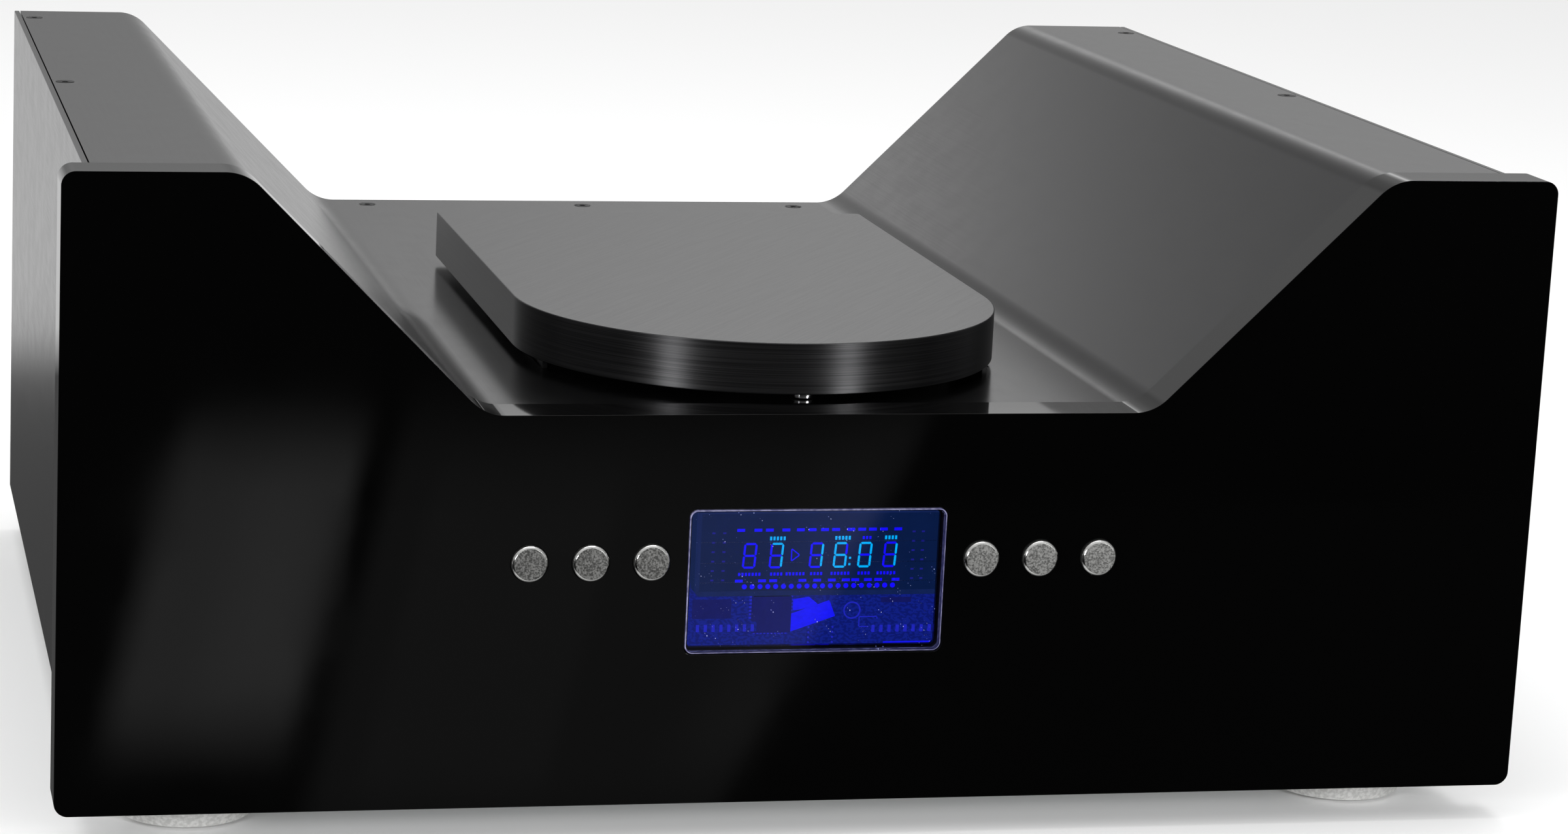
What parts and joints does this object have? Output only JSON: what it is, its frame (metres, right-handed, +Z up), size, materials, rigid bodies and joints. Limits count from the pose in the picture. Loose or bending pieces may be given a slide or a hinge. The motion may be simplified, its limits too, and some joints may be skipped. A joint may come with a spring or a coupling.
{
  "type": "cd player",
  "caption": "Top-loading disc player with a sliding lid in a valley-shaped top, a thick acrylic front with display window and push buttons, and rear connectors.",
  "frame": {"origin": "centre of the outer box, on the surface that the feet stand on", "axes": "+X to the right as seen from the front, +Y from the front panel to the rear panel, +Z up"},
  "size_m": [0.43, 0.3806, 0.192],
  "materials": {
    "black_acrylic": "polished",
    "window_pane": "polished",
    "grey_aluminium": "satin anodised",
    "lid_aluminium": "brushed anodised",
    "silver_aluminium": "blasted",
    "black_steel": "blackened",
    "zinc_steel": "zinc plated",
    "polished_steel": "ground and polished",
    "black_plastic": "moulded",
    "black_rubber": "matt",
    "circuit_board": "solder mask",
    "tube_glass": "clear",
    "lens_glass": "coated",
    "transformer_winding": "taped",
    "gold_plate": "gold plated"
  },
  "bodies": {
    "casing": {"front_panel": "black_acrylic", "display_window": "window_pane", "top_cover": "grey_aluminium", "left_side_panel": "grey_aluminium", "right_side_panel": "grey_aluminium", "front_left_foot": "silver_aluminium", "front_right_foot": "silver_aluminium", "rear_left_foot": "silver_aluminium", "rear_right_foot": "silver_aluminium", "front_subpanel": "black_steel", "rear_panel": "black_steel", "cover_screw_1": "black_steel", "cover_screw_2": "black_steel", "cover_screw_3": "black_steel", "cover_screw_4": "black_steel", "cover_screw_5": "black_steel", "cover_screw_6": "black_steel", "cover_screw_7": "black_steel", "base_plate": "zinc_steel", "left_frame_rail": "zinc_steel", "right_frame_rail": "zinc_steel", "rear_crossbar": "zinc_steel", "transport_chassis": "zinc_steel", "spindle_motor": "zinc_steel", "sled_motor": "zinc_steel", "left_lid_rail": "polished_steel", "right_lid_rail": "polished_steel", "left_guide_rod": "polished_steel", "right_guide_rod": "polished_steel", "disc_well": "black_plastic", "mains_inlet": "black_plastic", "filter_capacitor_1": "black_plastic", "filter_capacitor_2": "black_plastic", "front_left_isolator": "black_rubber", "front_right_isolator": "black_rubber", "rear_left_isolator": "black_rubber", "rear_right_isolator": "black_rubber", "control_board": "circuit_board", "main_board": "circuit_board", "display_tube": "tube_glass", "power_transformer": "transformer_winding", "right_output_jack": "gold_plate", "left_output_jack": "gold_plate", "digital_jack": "gold_plate"},
    "sliding_lid": {"lid": "lid_aluminium", "lid_bumper": "silver_aluminium", "left_lid_carrier": "black_plastic", "right_lid_carrier": "black_plastic"},
    "button_1": {"button_1": "silver_aluminium"},
    "button_2": {"button_2": "silver_aluminium"},
    "button_3": {"button_3": "silver_aluminium"},
    "button_4": {"button_4": "silver_aluminium"},
    "button_5": {"button_5": "silver_aluminium"},
    "button_6": {"button_6": "silver_aluminium"},
    "mains_rocker": {"power_rocker": "black_plastic"},
    "spindle": {"spindle_hub": "black_plastic", "disc_clamp": "silver_aluminium"},
    "sled": {"pickup_sled": "black_plastic", "pickup_lens": "lens_glass"},
    "drive_screw": {"lead_screw": "polished_steel"}
  },
  "joints": [
    {"name": "lid_slide", "type": "slide", "parent": "casing", "child": "sliding_lid", "axis": [0, 1, 0], "range_m": [0, 0.1349]},
    {"name": "button_1_press", "type": "slide", "parent": "casing", "child": "button_1", "axis": [0, 1, 0], "range_m": [0, 0.001], "stiffness_N_per_m": 400, "springref_m": -0.001},
    {"name": "button_2_press", "type": "slide", "parent": "casing", "child": "button_2", "axis": [0, 1, 0], "range_m": [0, 0.001], "stiffness_N_per_m": 400, "springref_m": -0.001},
    {"name": "button_3_press", "type": "slide", "parent": "casing", "child": "button_3", "axis": [0, 1, 0], "range_m": [0, 0.001], "stiffness_N_per_m": 400, "springref_m": -0.001},
    {"name": "button_4_press", "type": "slide", "parent": "casing", "child": "button_4", "axis": [0, 1, 0], "range_m": [0, 0.001], "stiffness_N_per_m": 400, "springref_m": -0.001},
    {"name": "button_5_press", "type": "slide", "parent": "casing", "child": "button_5", "axis": [0, 1, 0], "range_m": [0, 0.001], "stiffness_N_per_m": 400, "springref_m": -0.001},
    {"name": "button_6_press", "type": "slide", "parent": "casing", "child": "button_6", "axis": [0, 1, 0], "range_m": [0, 0.001], "stiffness_N_per_m": 400, "springref_m": -0.001},
    {"name": "rocker_tilt", "type": "hinge", "parent": "casing", "child": "mains_rocker", "pos_m": [-0.15105, 0.18, 0.05905], "axis": [1, 0, 0], "range_deg": [0, 16]},
    {"name": "spindle_spin", "type": "hinge", "parent": "casing", "child": "spindle", "pos_m": [0, -0.0958, 0.1064], "axis": [0, 0, 1], "continuous": true},
    {"name": "sled_slide", "type": "slide", "parent": "casing", "child": "sled", "axis": [0, 1, 0], "range_m": [0, 0.035]},
    {"name": "lead_screw_turn", "type": "hinge", "parent": "casing", "child": "drive_screw", "pos_m": [0.0265, -0.0658, 0.0955], "axis": [0, 1, 0], "range_deg": [0, 2101]}
  ],
  "couplings": [
    {"joint": "lead_screw_turn", "follows": "sled_slide", "rad_per_m": 1047.2}
  ]
}
